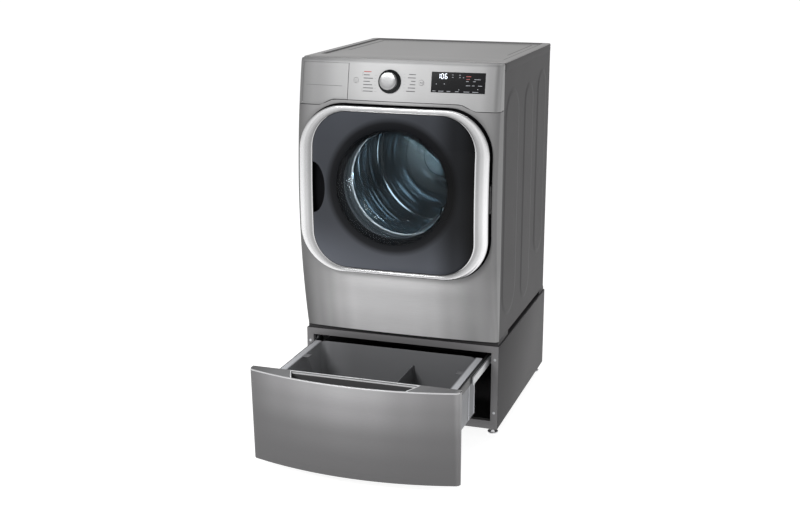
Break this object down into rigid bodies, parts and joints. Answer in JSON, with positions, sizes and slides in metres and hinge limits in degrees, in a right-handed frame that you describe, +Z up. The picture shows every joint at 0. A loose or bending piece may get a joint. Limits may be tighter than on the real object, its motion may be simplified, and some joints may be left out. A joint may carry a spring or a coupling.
{
  "type": "front-loading washing machine on a drawer pedestal",
  "caption": "Front-loading washing machine with a round-cornered glass door and a dial fascia, standing on a pedestal whose bow-fronted drawer is pulled open.",
  "frame": {"origin": "middle of the footprint on the floor, taken with the pedestal drawer pulled out and the door closed", "axes": "+Z up, front of the machine towards -Y, +X to the right as seen by a person facing the front"},
  "size_m": [0.742, 1.35, 1.364],
  "materials": {
    "panel_silver": "brushed graphite steel, satin",
    "fascia_silver": "satin silver paint on plastic and steel",
    "cabinet_grey": "satin dark grey paint",
    "bright_trim": "bright plated plastic",
    "dark_glass": "polished smoked glass look",
    "clear_glass": "polished clear glass",
    "black_plastic": "fine moulded texture",
    "slide_black": "black paint, semi-matte",
    "bin_plastic": "moulded, satin",
    "drum_steel": "polished stainless, perforated",
    "tub_plastic": "moulded, matte",
    "rubber_grey": "moulded, matte",
    "plated_steel": "zinc plated",
    "cast_weight": "rough cast, painted",
    "circuit_board": "lacquered board",
    "copper_winding": "lacquered copper and steel laminations",
    "ivory_plastic": "moulded, satin"
  },
  "bodies": {
    "cabinet": {"pedestal_shell": "cabinet_grey", "pedestal_front_frame": "cabinet_grey", "pedestal_deck": "cabinet_grey", "pedestal_foot_front_left": "plated_steel", "pedestal_foot_front_right": "plated_steel", "pedestal_foot_rear_left": "plated_steel", "pedestal_foot_rear_right": "plated_steel", "drawer_rail_left": "plated_steel", "drawer_rail_right": "plated_steel", "cabinet_shell": "cabinet_grey", "rear_cover": "plated_steel", "base_pan": "plated_steel", "lid": "panel_silver", "front_panel": "panel_silver", "control_fascia": "fascia_silver", "display_window": "dark_glass", "control_board": "circuit_board", "inlet_valve": "ivory_plastic", "drain_pump": "ivory_plastic", "sump_hose": "rubber_grey", "door_lock": "black_plastic", "door_hinge_bracket": "plated_steel", "suspension_spring_left": "plated_steel", "suspension_spring_right": "plated_steel", "damper_body_left": "ivory_plastic", "damper_body_right": "ivory_plastic", "dispenser_housing": "ivory_plastic"},
    "door": {"door_trim_ring": "bright_trim", "door_outer_glass": "dark_glass", "door_inner_frame": "black_plastic", "door_bowl_glass": "clear_glass", "door_hinge_arm": "plated_steel", "door_latch_hook": "plated_steel"},
    "pedestal_drawer": {"drawer_slide_left": "slide_black", "drawer_slide_right": "slide_black", "drawer_bin": "bin_plastic", "drawer_divider": "bin_plastic", "drawer_front": "panel_silver", "drawer_handle_trim": "bright_trim"},
    "mid_rails": {"drawer_rail_mid_left": "plated_steel", "drawer_rail_mid_right": "plated_steel"},
    "dispenser": {"dispenser_front": "fascia_silver", "dispenser_tray": "ivory_plastic"},
    "dial": {"dial_knob": "fascia_silver"},
    "power": {"power_button": "fascia_silver"},
    "start": {"start_button": "fascia_silver"},
    "tub": {"tub_front": "tub_plastic", "tub_rear": "tub_plastic", "counterweight": "cast_weight", "bearing_cartridge": "plated_steel", "motor_stator": "copper_winding", "damper_rod_left": "plated_steel", "damper_rod_right": "plated_steel", "door_gasket": "rubber_grey"},
    "drum": {"drum_shell": "drum_steel", "drum_spider": "drum_steel", "drum_lifter_1": "ivory_plastic", "drum_lifter_2": "ivory_plastic", "drum_lifter_3": "ivory_plastic", "motor_rotor": "plated_steel"}
  },
  "joints": [
    {"name": "door_swing", "type": "hinge", "parent": "cabinet", "child": "door", "pos_m": [0.347, -0.184, 0.908], "axis": [0, 0, 1], "range_deg": [0, 120]},
    {"name": "drawer_slide", "type": "slide", "parent": "cabinet", "child": "pedestal_drawer", "axis": [0, -1, 0], "range_m": [-0.48, 0]},
    {"name": "mid_slides", "type": "slide", "parent": "cabinet", "child": "mid_rails", "axis": [0, -1, 0], "range_m": [-0.24, 0]},
    {"name": "dispenser_slide", "type": "slide", "parent": "cabinet", "child": "dispenser", "axis": [0, -1, 0], "range_m": [0, 0.17]},
    {"name": "dial_turn", "type": "hinge", "parent": "cabinet", "child": "dial", "pos_m": [-0.024, -0.1504, 1.293], "axis": [0, -0.9822, 0.1877], "continuous": true},
    {"name": "power_press", "type": "slide", "parent": "cabinet", "child": "power", "axis": [0, 0.9822, -0.1877], "range_m": [0, 0.0015], "stiffness_N_per_m": 400},
    {"name": "start_press", "type": "slide", "parent": "cabinet", "child": "start", "axis": [0, 0.9822, -0.1877], "range_m": [0, 0.0015], "stiffness_N_per_m": 400},
    {"name": "tub_float", "type": "slide", "parent": "cabinet", "child": "tub", "axis": [0, 0, 1], "range_m": [-0.006, 0.006], "stiffness_N_per_m": 20000, "springref_m": 0.027, "deforming": ["door_gasket", "sump_hose", "suspension_spring_left", "suspension_spring_right"]},
    {"name": "drum_spin", "type": "hinge", "parent": "tub", "child": "drum", "pos_m": [0, 0.2, 0.93], "axis": [0, 1, 0], "continuous": true}
  ],
  "couplings": [
    {"joint": "mid_slides", "follows": "drawer_slide", "ratio": 0.5}
  ]
}
